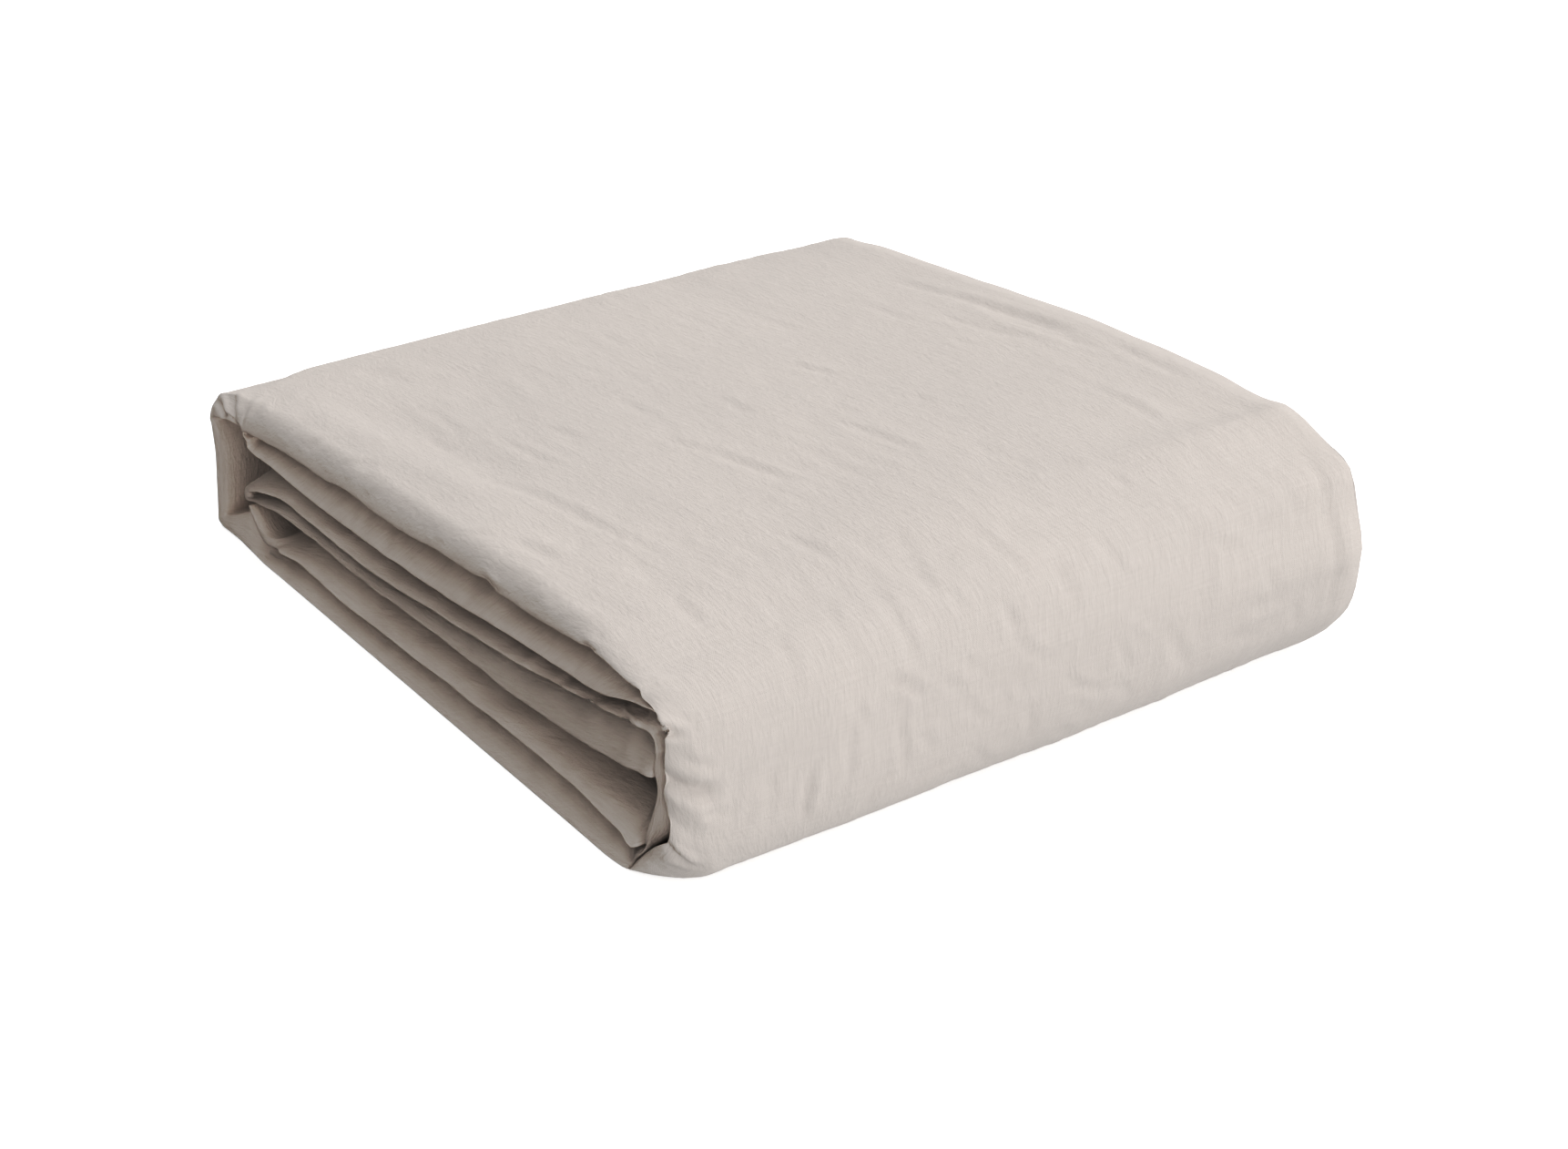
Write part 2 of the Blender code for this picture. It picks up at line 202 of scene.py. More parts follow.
def dense_rows():
    """Rows about ROW apart on a centripetal Catmull-Rom curve through the key rows, and where each part ends."""
    rows, ends = key_rows()
    out_gap = np.linalg.norm(np.diff(rows[:, 2:4], axis=0), axis=1)
    in_gap = np.linalg.norm(np.diff(rows[:, 0:2], axis=0), axis=1)
    gap = np.maximum(np.maximum(out_gap, in_gap), 0.5)
    knot = np.concatenate([[0], np.cumsum(np.sqrt(gap))])
    made, last = [rows[0]], [0]
    for i in range(len(rows) - 1):
        p0, p1, p2, p3 = (rows[int(np.clip(j, 0, len(rows) - 1))] for j in (i - 1, i, i + 1, i + 2))
        k1, k2 = knot[i], knot[i + 1]
        k0 = knot[i - 1] if i else 2 * k1 - k2
        k3 = knot[i + 2] if i + 2 < len(knot) else 2 * k2 - k1
        m1 = (p2 - p1) if not i else (p1 - p0) / (k1 - k0) * (k2 - k1) * (k2 - k1) / (k2 - k0) + (p2 - p1) * (k1 - k0) / (k2 - k0)
        m2 = (p2 - p1) if i + 2 >= len(rows) else (p3 - p2) / (k3 - k2) * (k2 - k1) * (k2 - k1) / (k3 - k1) + (p2 - p1) * (k3 - k2) / (k3 - k1)
        count = max(1, int(math.ceil(gap[i] / ROW)))
        for j in range(1, count + 1):
            t = j / count
            made.append(p1 * (1 + 2 * t) * (1 - t) ** 2 + p2 * t * t * (3 - 2 * t) + m1 * t * (1 - t) ** 2 + m2 * t * t * (t - 1))
        last.append(len(made) - 1)
    made = np.array(made)
    made[:, 3] = np.maximum(made[:, 3], 0.0)
    made[:, 5] = np.maximum(made[:, 5], 0.0)
    made[:, 7] = np.clip(made[:, 7], 0.03, 0.9)
    made[:, 8] = np.clip(made[:, 8], 0.0, 1.0)
    return made, [last[e - 1] for e in ends]


ROWS, PART_ENDS = dense_rows()
U_IN, Z_IN, U_OUT, Z_OUT, SOFT, BACK, RIDGE, SPLIT, STRENGTH = ROWS.T
COUNT = len(ROWS)


def arc(x, y):
    return np.concatenate([[0], np.cumsum(np.hypot(np.diff(x), np.diff(y)))])


S_IN, S_OUT = arc(U_IN, Z_IN), arc(U_OUT, Z_OUT)


def pinch_ends():
    """Both ends of the strip close to a soft hem about 1 mm thick."""
    u_mid, z_mid = (U_IN + U_OUT) / 2, (Z_IN + Z_OUT) / 2
    s = (S_IN + S_OUT) / 2
    for start, reach, keep_low in ((s, 7.0, True), (s[-1] - s, 6.0, False)):
        open_ = np.sqrt(np.clip(start / reach, 0, 1) * (2 - np.clip(start / reach, 0, 1)))
        thick = np.hypot(U_OUT - U_IN, Z_OUT - Z_IN)
        scale = np.minimum(1, (1.0 + (thick - 1.0) * open_) / np.maximum(thick, 1.0))
        cu, cz = (U_OUT * 1.0, Z_OUT * 1.0) if keep_low else (u_mid, z_mid)
        for a, c in ((U_IN, cu), (U_OUT, cu)):
            a[:] = c + (a - c) * scale
        for a, c in ((Z_IN, cz), (Z_OUT, cz)):
            a[:] = c + (a - c) * scale


pinch_ends()


def between(r, first, last, soft=10.0):
    """1 on the rows from first to last, easing to 0 just inside them."""
    return ease((r - first) / soft) * ease((last - r) / soft)


def unsettle():
    """Small waves in the ridge lines, and the upper lip's own line."""
    r = np.arange(COUNT)
    s = (S_IN + S_OUT) / 2
    top, c1, c2, d = (between(r, PART_ENDS[k], PART_ENDS[k + 1]) for k in (0, 5, 7, 9))
    shift = 0.4 * noise(s / 27, 0.3, 61) + 0.22 * noise(s / 10, 0.7, 62)
    Z_IN[:] += shift * (top + c1 + d)
    Z_OUT[:] += shift * c2
    BACK[:] += (0.9 + 0.9 * noise(s / 36, 0.1, 63) + 0.35 * noise(s / 12, 0.6, 64)) * (0.5 * top + c1 + c2 + d) * 0.6
    on = (r > PART_ENDS[0]) & (r < PART_ENDS[1])
    lip = (line(A_LINE, U_OUT) + 0.25 * noise(s / 9, 0.5, 65) - Z_IN) / np.maximum(Z_OUT - Z_IN, 1.0)
    SPLIT[on] = np.clip(lip, 0.05, 0.9)[on]


def inside(w):
    """Keeps the inner plies a little away from the outer one."""
    return w * (0.86 + 0.14 * np.clip(w, 0, 1) ** 8)


def settle(u, v, z):
    """Move points of the straight extrusion to their place in the uneven packet, as in the CAD."""
    s = v / DEPTH
    across = np.clip(u / SPAN, 0, 1)
    deep = ease((v - 6.0) / 40.0)
    pull = LAYER_PULL * deep * ease((u - 5.0) / 24.0) * ease((130.0 - u) / 80.0)
    rise = 1 + (line(FAR_RISE, u) - 1) * s + MIDDLE_CROWN / 80.0 * np.sin(math.pi * s)
    right = np.clip((u - 290.0) / 90.0, 0, 1) ** 2
    belly = np.sin(math.pi * np.clip(z / 84.0, 0, 1)) ** 1.5
    low = np.maximum(0.0, 1 - z / 26.0) ** 2
    back = CORNER_ROUND * np.maximum(0.0, u - CORNER_FROM) ** 2 + FOOT_ROUND * np.maximum(0.0, u - FOOT_FROM) ** 2 * low
    u = u - pull + FAR_SHIFT_LEFT * s * (1 - across) + (FAR_SHIFT_RIGHT + FAR_SWELL * belly + FAR_TUCK * low) * s * right
    v = v + back * np.maximum(0.0, 1 - v / 70.0)
    return u, v, z * rise


# ---------------------------------------------------------------- noise
def hashed(ix, iy, seed):
    h = (ix.astype(np.int64) * 374761393 + iy.astype(np.int64) * 668265263 + seed * 974634777) & 0xFFFFFFFF
    h = ((h ^ (h >> 13)) * 1274126177) & 0xFFFFFFFF
    h = ((h ^ (h >> 15)) * 2246822519) & 0xFFFFFFFF
    return (h ^ (h >> 16)) & 0xFFFFFFFF


def noise(x, y, seed):
    """Smooth gradient noise, about -1 to 1."""
    x, y = np.broadcast_arrays(np.asarray(x, float), np.asarray(y, float))
    x0, y0 = np.floor(x), np.floor(y)
    fx, fy = x - x0, y - y0
    wx, wy = fx ** 3 * (fx * (fx * 6 - 15) + 10), fy ** 3 * (fy * (fy * 6 - 15) + 10)
    corner = []
    for dy in (0, 1):
        for dx in (0, 1):
            a = hashed(x0 + dx, y0 + dy, seed) * (2 * math.pi / 4294967296.0)
            corner.append(np.cos(a) * (fx - dx) + np.sin(a) * (fy - dy))
    low = corner[0] + (corner[1] - corner[0]) * wx
    high = corner[2] + (corner[3] - corner[2]) * wx
    return (low + (high - low) * wy) * 1.45


def fold(x, y, seed, soft=0.08):
    """Folded noise: facets that meet in creases, about -0.5 to 0.5."""
    n = noise(x, y, seed)
    return np.sqrt(n * n + soft * soft) - 0.42


# ---------------------------------------------------------------- the near edge's profile
unsettle()
THICK = np.hypot(U_OUT - U_IN, Z_OUT - Z_IN)
LIP = 1.45            # depth under the upper lip against soft
FORM = ease((np.arange(COUNT) - PART_ENDS[0] + 12) / 30.0)  # 0 the big fold rolls round, 1 the layers slope back


def leaning(q, slope, roll):
    """Rises from 0 at q = 0 to 1 at q = 1, where it rolls over."""
    return 1 - np.maximum(0.0, 1 - np.clip(q, 0, 1) ** slope) ** roll


def plain_profile(w, form, ridge):
    """The near edge without the upper lip."""
    on_in = (1 - form) * leaning(w, 1.5, 0.6) + form * leaning(w, 1.1, 0.92)
    on_out = (1 - form) * leaning(1 - w, 1.5, 0.6) + form * leaning(1 - w, 1.1, 0.92)
    even = 1 - np.sqrt(np.maximum(0.0, 1 - (2 * w - 1) ** 2))
    return np.where(ridge > 0, on_in, on_out) * np.abs(ridge) + even * (1 - np.abs(ridge))


def profile(w, upper):
    """Distance of the near edge behind the near face at w, on the upper or the lower lip."""
    form, ridge, split, strength = (a[:, None] for a in (FORM, RIDGE, SPLIT, STRENGTH))
    plain = plain_profile(w, form, ridge)
    if upper:
        double = leaning((w - split) / (1 - split), 1.9, 0.52)
    else:
        double = LIP * leaning(w / split, 1.1, 0.92)
    return BACK[:, None] + SOFT[:, None] * (plain * (1 - strength) + double * strength)


TAIL = 14.0           # how far along each side of the near edge its rounding is worked out


def near_edge_columns():
    """(x, v) of every near-edge column for every row, x from the in side in mm: (COUNT, columns)."""
    def cosine(n):
        return (1 - np.cos(np.linspace(0, math.pi, n))) / 2

    thick, split = THICK[:, None], SPLIT[:, None]
    lower_w = split * cosine(41)[None]
    upper_w = split + (1 - split) * cosine(61)[None]
    lower_v, upper_v = profile(lower_w, False), profile(upper_w, True)
    tail = np.linspace(0, 1, 21)[None]
    shelf = np.linspace(0, 1, 17)[None]
    parts_x = [0 * tail + 0 * thick, lower_w * thick, split * thick + 0 * shelf, upper_w * thick, thick + 0 * tail]
    parts_v = [lower_v[:, :1] + TAIL * (1 - tail), lower_v, lower_v[:, -1:] + (upper_v[:, :1] - lower_v[:, -1:]) * shelf,
               upper_v, upper_v[:, -1:] + TAIL * tail]
    x, v = np.concatenate(parts_x, 1), np.concatenate(parts_v, 1)
    marks = np.cumsum([p.shape[1] for p in parts_x]) - 1
    length = np.concatenate([np.zeros((COUNT, 1)), np.cumsum(np.hypot(np.diff(x, axis=1), np.diff(v, axis=1)), axis=1)], 1)
    total = length[:, -1]
    count = 181
    even_x, even_v = np.empty((COUNT, count)), np.empty((COUNT, count))
    for r in range(COUNT):
        at = np.linspace(0, total[r], count)
        even_x[r] = np.interp(at, length[r], x[r])
        even_v[r] = np.interp(at, length[r], v[r])
    for _ in range(3):  # rounds every corner a little
        for a in (even_x, even_v):
            a[:, 1:-1] = (a[:, :-2] + 2 * a[:, 1:-1] + a[:, 2:]) / 4
    a0, a1, a2, a3 = (length[:, m] for m in marks[:4])
    shelf_length = np.maximum(a2 - a1, 0.5)
    middle = (a1 + a2) / 2
    a1 = np.maximum(middle - shelf_length / 2, a0 + 0.3)
    a2 = np.maximum(middle + shelf_length / 2, a1 + 0.3)
    a3 = np.maximum(a3, a2 + 0.5)
    places = [a0 - 9, a0 - 5, a0 - 2.6, a0 - 1.1, a0 - 0.4]
    places += [a0 + (a1 - a0) * t for t in (0, 0.03, 0.1, 0.25, 0.42, 0.6, 0.78, 0.93)]
    places += [a1 + (a2 - a1) * t for t in (0, 0.4, 0.8, 0.96)]
    places += [a2 + (a3 - a2) * t for t in (0, 0.03, 0.09, 0.19, 0.31, 0.44, 0.57, 0.7, 0.84, 0.95)]
    places += [a3, a3 + 1.1, a3 + 2.8]
    places = np.stack(places, 1)
    places = np.maximum.accumulate(places, axis=1)
    col_x, col_v = np.empty(places.shape), np.empty(places.shape)
    grid = np.linspace(0, 1, count)
    for r in range(COUNT):
        at = places[r] / total[r]
        col_x[r] = np.interp(at, grid, even_x[r])
        col_v[r] = np.interp(at, grid, even_v[r])
    along = col_v[:, -1:] - (places[:, -1:] - places)  # v carried on round the edge
    return col_x, col_v, np.median(np.diff(places, axis=1), axis=0), along


# ---------------------------------------------------------------- columns of the cloth, in flat order
class Column:
    def __init__(self, x, v, y, step, kind, along=None):
        self.x, self.v, self.y, self.step, self.kind = x, v, y, step, kind
        self.along = v if along is None else along


def wave(seed, size, length):
    return size * noise(S_OUT / length, 0.37 * seed, seed)


def build_columns(fine):
    """All columns of one zone, from the free edge y = 0 to y = 8 strip widths. kind: face, near, in, inner, far."""
    near_x, near_v, near_gap, near_along = NEAR
    far_depth = np.minimum(6.0, THICK / 2)
    made = []
    y = 0.0

    def far_v(w):
        return DEPTH - far_depth * (1 - np.sqrt(np.maximum(0, 1 - (2 * w - 1) ** 2)))

    def add(x, v, dy, step, kind, along=None):
        nonlocal y
        y += dy
        made.append(Column(x, v, y, step, kind, along))

    def inner_near(w, level):
        p = plain_profile(np.full(COUNT, float(w)), FORM, RIDGE)
        return BACK + SOFT * np.maximum(p, (LIP + 0.08) * STRENGTH) + 1.3 + 1.3 * level + 30.0 * (1 - FORM)

    # in side, from its free far edge to the near edge
    n = 13
    v_end, v_start = near_v[:, 0], far_v(0.0) - 2.0 + wave(5, 1.6, 70)
    for i in range(n):
        add(0 * THICK, v_end + (v_start - v_end) * (1 - i / n) ** 1.35, 300 / n if i else 0, 5, "in")
    # near edge
    for j in range(near_x.shape[1]):
        add(near_x[:, j], near_v[:, j], near_gap[j - 1] if j else 300 / n, 2 if fine else 3, "near", near_along[:, j])
    # out side
    lobe = np.minimum(0.5 * THICK * 3 / 7, 4.0)
    v_start, v_end = near_v[:, -1], far_v(1.0) - lobe
    n = int(round(305 / FINE)) if fine else 16
    for i in range(1, n):
        t = i / n if fine else (i / n) ** 1.25
        add(THICK.copy(), v_start + (v_end - v_start) * t, 305 / n, 2 if fine else 5, "face")

    def far_turn(a, b, shift, seed):
        """Round the far end from ply a to ply b (in sevenths of the thickness)."""
        size = np.minimum(0.5 * THICK * abs(a - b) / 7, 4.0)
        for k in range(5):
            c = math.cos(math.pi * k / 4)
            w = ((a + b) / 2 + (a - b) / 2 * c) / 7
            add(THICK * inside(w), far_v((a + b) / 14) - size * (1 - math.sqrt(max(0, 1 - c * c))) - shift + wave(seed, 1.2, 55),
                3.0 if k else 305 / n, 6, "far")

    def ply(k, start, end, columns):
        """Inner ply k from v = start to end."""
        for i in range(1, columns):
            add(THICK * inside(k / 7), start + (end - start) * i / columns, 320 / columns, 16, "inner")

    def near_turn(a, b, level):
        size = np.minimum(0.5 * THICK * abs(a - b) / 7, 3.0)
        for k in range(5):
            c = math.cos(math.pi * k / 4)
            w = ((a + b) / 2 + (a - b) / 2 * c) / 7
            add(THICK * inside(w), inner_near(w, level) + size * (1 - math.sqrt(max(0, 1 - c * c))), 2.0, 8, "turn")

    def far_at(a, b, shift, seed):
        return far_v((a + b) / 14) - np.minimum(0.5 * THICK * abs(a - b) / 7, 4.0) - shift + wave(seed, 1.2, 55)

    def near_at(a, b, k, level):
        return inner_near(k / 7, level) + np.minimum(0.5 * THICK * abs(a - b) / 7, 3.0)

    far_turn(7, 4, 0.0, 21)
    ply(4, far_at(7, 4, 0, 21), near_at(4, 3, 4, 2), 8)
    near_turn(4, 3, 2)
    ply(3, near_at(4, 3, 3, 2), far_at(3, 2, 1.0, 22), 8)
    far_turn(3, 2, 1.0, 22)
    ply(2, far_at(3, 2, 1.0, 22), near_at(2, 5, 2, 1), 8)
    near_turn(2, 5, 1)
    ply(5, near_at(2, 5, 5, 1), far_at(5, 6, 3.0, 23), 8)
    far_turn(5, 6, 3.0, 23)
    ply(6, far_at(5, 6, 3.0, 23), near_at(6, 1, 6, 0), 8)
    near_turn(6, 1, 0)
    v_start, v_end = near_at(6, 1, 1, 0), far_v(0.143) - 1.0 + wave(24, 1.8, 60)
    for i in range(1, 10):
        add(THICK * inside(1 / 7), v_start + (v_end - v_start) * i / 9, 320 / 9, 14, "inner")
    return made


def zipper(a, b, key_a, key_b, faces):
    """Faces between two lines of vertices, each with its own sorted keys."""
    i = j = 0
    while i < len(a) - 1 or j < len(b) - 1:
        if i < len(a) - 1 and j < len(b) - 1 and key_a[i] == key_b[j] and key_a[i + 1] == key_b[j + 1]:
            faces.append((a[i], b[j], b[j + 1], a[i + 1]))
            i, j = i + 1, j + 1
        elif j >= len(b) - 1 or (i < len(a) - 1 and key_a[i + 1] <= key_b[j + 1]):
            faces.append((a[i], b[j], a[i + 1]))
            i += 1
        else:
            faces.append((a[i], b[j], b[j + 1]))
            j += 1


NEAR = near_edge_columns()


def build_cloth():
    """Vertices with their data, and faces."""
    border = PART_ENDS[3] - 6       # the fine zone ends under the left side
    step_between = 6
    zones = ((0, border, build_columns(True)), (border + step_between, COUNT - 1, build_columns(False)))
    data = {k: [] for k in ("row", "x", "v", "y", "kind", "along")}
    faces, borders = [], []
    total = 0
    for zone, (first, last, columns) in enumerate(zones):
        lines = []
        for col in columns:
            at = np.arange(first, last + 1)
            step = np.full(len(at), col.step)
            if col.kind == "near":  # one row to a millimetre where the edge is busiest
                step[(at > PART_ENDS[5]) & (at < PART_ENDS[5] + 90)] = 2
                step[(at < PART_ENDS[0] + 10) | (abs(at - (PART_ENDS[1] + PART_ENDS[2]) / 2) < 14) | (abs(at - PART_ENDS[5]) < 26)] = 1
            keep = (at % step == 0) | (at == first) | (at == last)
            at = at[keep]
            lines.append((np.arange(total, total + len(at)), at))
            total += len(at)
            data["row"].append(at)
            data["x"].append(col.x[at])
            data["v"].append(col.v[at])
            data["y"].append(np.full(len(at), col.y))
            data["kind"].append(np.full(len(at), ("face", "near", "in", "inner", "turn", "far").index(col.kind)))
            data["along"].append(col.along[at])
        for (a, ka), (b, kb) in zip(lines, lines[1:]):
            zipper(a, b, ka, kb, faces)
        borders.append(([ln[0][0] for ln in lines], [ln[0][-1] for ln in lines], [c.y for c in columns]))
    a, b = borders
    zipper(b[0], a[1], b[2], a[2], faces)
    return {k: np.concatenate(v) for k, v in data.items()}, faces


DATA, FACES = build_cloth()
KIND = DATA["kind"]
FACE, NEAR_KIND, IN, INNER, TURN, FAR = range(6)


def place(x, v):
    r = DATA["row"]
    w = x / np.maximum(THICK[r], 1e-6)
    u = U_IN[r] + (U_OUT[r] - U_IN[r]) * w
    z = Z_IN[r] + (Z_OUT[r] - Z_IN[r]) * w
    facet = line(FACETS, S_OUT[r] - HEM) * ease((v - 190.0) / 140.0) * w ** 2 * (r < PART_ENDS[1]) / np.maximum(THICK[r], 1e-6)
    u, z = u + (U_OUT[r] - U_IN[r]) * facet, z + (Z_OUT[r] - Z_IN[r]) * facet
    inset = np.minimum(CORNER_INSET, 0.62 * THICK[r])
    u = u - inset * w * (1 - FORM[r]) * np.clip(1 - v / 40.0, 0, 1) ** 2 * ease(z / 12.0)
    return np.stack(settle(u, v, z), 1)


TRIANGLES =np.array([(f[0], f[k - 1], f[k]) for f in FACES for k in range(2, len(f))])


def vertex_normals(points):
    cross = np.cross(points[TRIANGLES[:, 1]] - points[TRIANGLES[:, 0]], points[TRIANGLES[:, 2]] - points[TRIANGLES[:, 0]])
    total = np.zeros_like(points)
    for k in range(3):
        for c in range(3):
            total[:, c] += np.bincount(TRIANGLES[:, k], cross[:, c], len(points))
    return total / np.maximum(np.linalg.norm(total, axis=1), 1e-9)[:, None]


# ---------------------------------------------------------------- creases and crumples
# Creases, listed one by one: from (s, v) to (s, v), width, height and bend, all in mm. s runs up the big fold (about 0
# to 100) from HEM past the hem, and back over the top (100 to 437). Below 0 is a trough.
HEM = 6.4
CREASES = (
    # along the back of the top
    (382, 303, 322, 312, 3.2, -0.8, 1.0), (340, 308, 252, 312, 3.4, -1.5, -2.0), (322, 300, 262, 303, 4.0, 0.8, 1.0),
    (300, 303, 236, 313, 2.6, -0.9, 1.5), (323, 286, 270, 294, 2.6, -0.6, 1.0), (294, 271, 276, 272, 2.4, -0.5, 0),
    (240, 320, 188, 319, 2.6, -0.7, 1.5), (217, 278, 154, 280, 2.8, -0.6, -3.0), (205, 288, 160, 290, 5.0, 0.4, 2.0),
    (382, 226, 350, 228, 2.4, -0.3, 0.5), (365, 272, 320, 273, 2.4, -0.4, 1.0), (248, 217, 235, 219, 2.2, -0.5, 0),
    # middle of the top
    (316, 201, 288, 208, 2.2, -0.7, 0.6), (262, 186, 238, 188, 2.4, -0.4, 0), (240, 177, 193, 183, 2.2, -0.6, -1.0),
    (229, 166, 180, 172, 3.0, 0.35, 0.5), (224, 153, 208, 155, 2.2, -0.5, 0), (230, 150, 182, 154, 2.6, -0.4, 1.5),
    (290, 153, 274, 154, 2.2, -0.5, 0), (304, 155, 276, 157, 2.2, -0.5, 0.5), (332, 123, 300, 124, 2.2, -0.5, 0.6),
    (276, 115, 258, 116, 2.2, -0.6, 0), (264, 116, 206, 128, 2.4, -0.65, -1.2), (243, 121, 202, 130, 2.4, -0.4, 1.0),
    (404, 163, 382, 160, 2.4, -0.4, 0.5), (374, 132, 362, 135, 2.2, -0.4, 0), (167, 98, 132, 103, 2.4, -0.7, -1.0),
    (150, 112, 108, 118, 3.0, 0.35, 0.8), (142, 135, 105, 130, 2.8, -0.4, 1.5), (126, 126, 98, 129, 2.4, -0.6, 0.5),
    (132, 231, 118, 237, 2.2, -0.5, 0), (104, 246, 95, 249, 2.2, -0.6, 0), (99, 271, 90, 277, 2.2, -0.5, 0),
    (131, 162, 93, 169, 2.6, -0.4, 2.0), (190, 205, 150, 210, 3.0, -0.3, 1.5), (410, 200, 380, 204, 2.6, -0.3, 0.8),
    # near part of the top
    (384, 56, 338, 53, 2.4, -0.6, -1.5), (327, 63, 281, 66, 2.4, -0.7, 0.8), (322, 84, 301, 88, 2.2, -0.6, 0),
    (317, 77, 280, 80, 3.0, 0.3, 0.5), (298, 37, 213, 49, 2.6, -0.7, -2.5), (240, 47, 179, 54, 2.4, -0.6, 1.0),
    (350, 41, 328, 42, 2.2, -0.5, 0), (345, 7, 331, 9, 2.4, -0.6, 0), (231, 17, 198, 22, 2.6, -0.7, 1.0),
    (226, 25, 200, 29, 3.4, 0.3, 0.5), (437, 61, 404, 68, 6.5, -0.8, 1.0), (150, 40, 125, 39, 2.4, -0.6, 0.6),
    (175, 62, 140, 66, 2.6, -0.35, -1.0), (172, 82, 120, 86, 2.8, -0.3, 1.5), (440, 19, 250, 31, 10.0, 1.1, 3.0),
    (400, 40, 270, 52, 9.0, -0.6, 2.0), (200, 30, 120, 26, 9.0, 0.5, 1.0),
    # over the edge of the big fold
    (116, 107, 78, 110, 2.6, -0.7, 1.0), (103, 132, 88, 138, 2.2, -0.5, 0), (116, 86, 88, 84, 2.6, -0.45, 1.0),
    (89, 152, 79, 159, 2.2, -0.8, 0.6), (86, 257, 77, 275, 2.0, -0.6, 1.0), (96, 180, 80, 186, 2.4, -0.4, 0),
    (104, 205, 84, 212, 2.6, -0.4, 1.0), (110, 60, 84, 57, 2.8, -0.4, 0), (100, 300, 80, 304, 2.6, -0.4, 0),
    # on the fold's face
    (77, 96, 66, 112, 2.0, -1.3, -2.2), (73, 100, 64, 108, 2.4, 0.6, -1.5), (64, 100, 40, 104, 2.2, -1.0, 0.6),
    (70, 79, 44, 77, 2.2, -0.8, 0.6), (75, 80, 62, 86, 2.0, -0.7, 0), (57, 60, 33, 57, 2.2, -1.3, 0.8),
    (52, 64, 36, 62, 2.4, 0.5, 0.4), (52, 33, 40, 29, 2.4, -0.6, 0), (44, 99, 28, 84, 2.0, -0.9, 0.8),
    (40, 125, 29, 111, 2.2, -0.7, 0.5), (62, 42, 34, 40, 2.6, -0.5, 1.0), (66, 26, 44, 24, 3.0, -0.4, 0.6),
    (50, 160, 33, 165, 2.2, -0.7, -1.0), (63, 228, 38, 246, 2.0, -0.8, 1.6), (59, 234, 44, 245, 1.9, -0.7, 1.2),
    (77, 154, 63, 175, 2.0, -0.7, 1.2), (73, 120, 65, 129, 2.0, -0.7, 0.8), (74, 130, 70, 141, 1.9, -0.6, 0.6),
    (53, 268, 51, 293, 2.4, 0.6, 1.0), (48, 262, 40, 288, 2.2, -0.5, 0.8), (56, 178, 45, 196, 2.0, -0.8, 1.4),
    (50, 184, 40, 199, 2.0, 0.5, 1.0), (53, 110, 45, 117, 2.0, -0.6, 0), (63, 128, 46, 147, 2.2, -0.5, 1.6),
    (62, 205, 50, 213, 2.0, -0.6, 1.2), (44, 206, 34, 216, 2.0, -0.6, -1.0), (70, 210, 60, 224, 2.0, 0.5, 1.0),
    (40, 135, 26, 150, 2.2, -0.5, 1.0), (36, 178, 24, 190, 2.2, -0.5, 0), (54, 300, 36, 306, 2.2, -0.6, 0.8),
    (113, 322, 38, 323, 3.0, -0.7, 2.5), (70, 282, 58, 290, 2.2, -0.5, 0), (62, 150, 52, 158, 2.0, 0.5, 0.5),
)


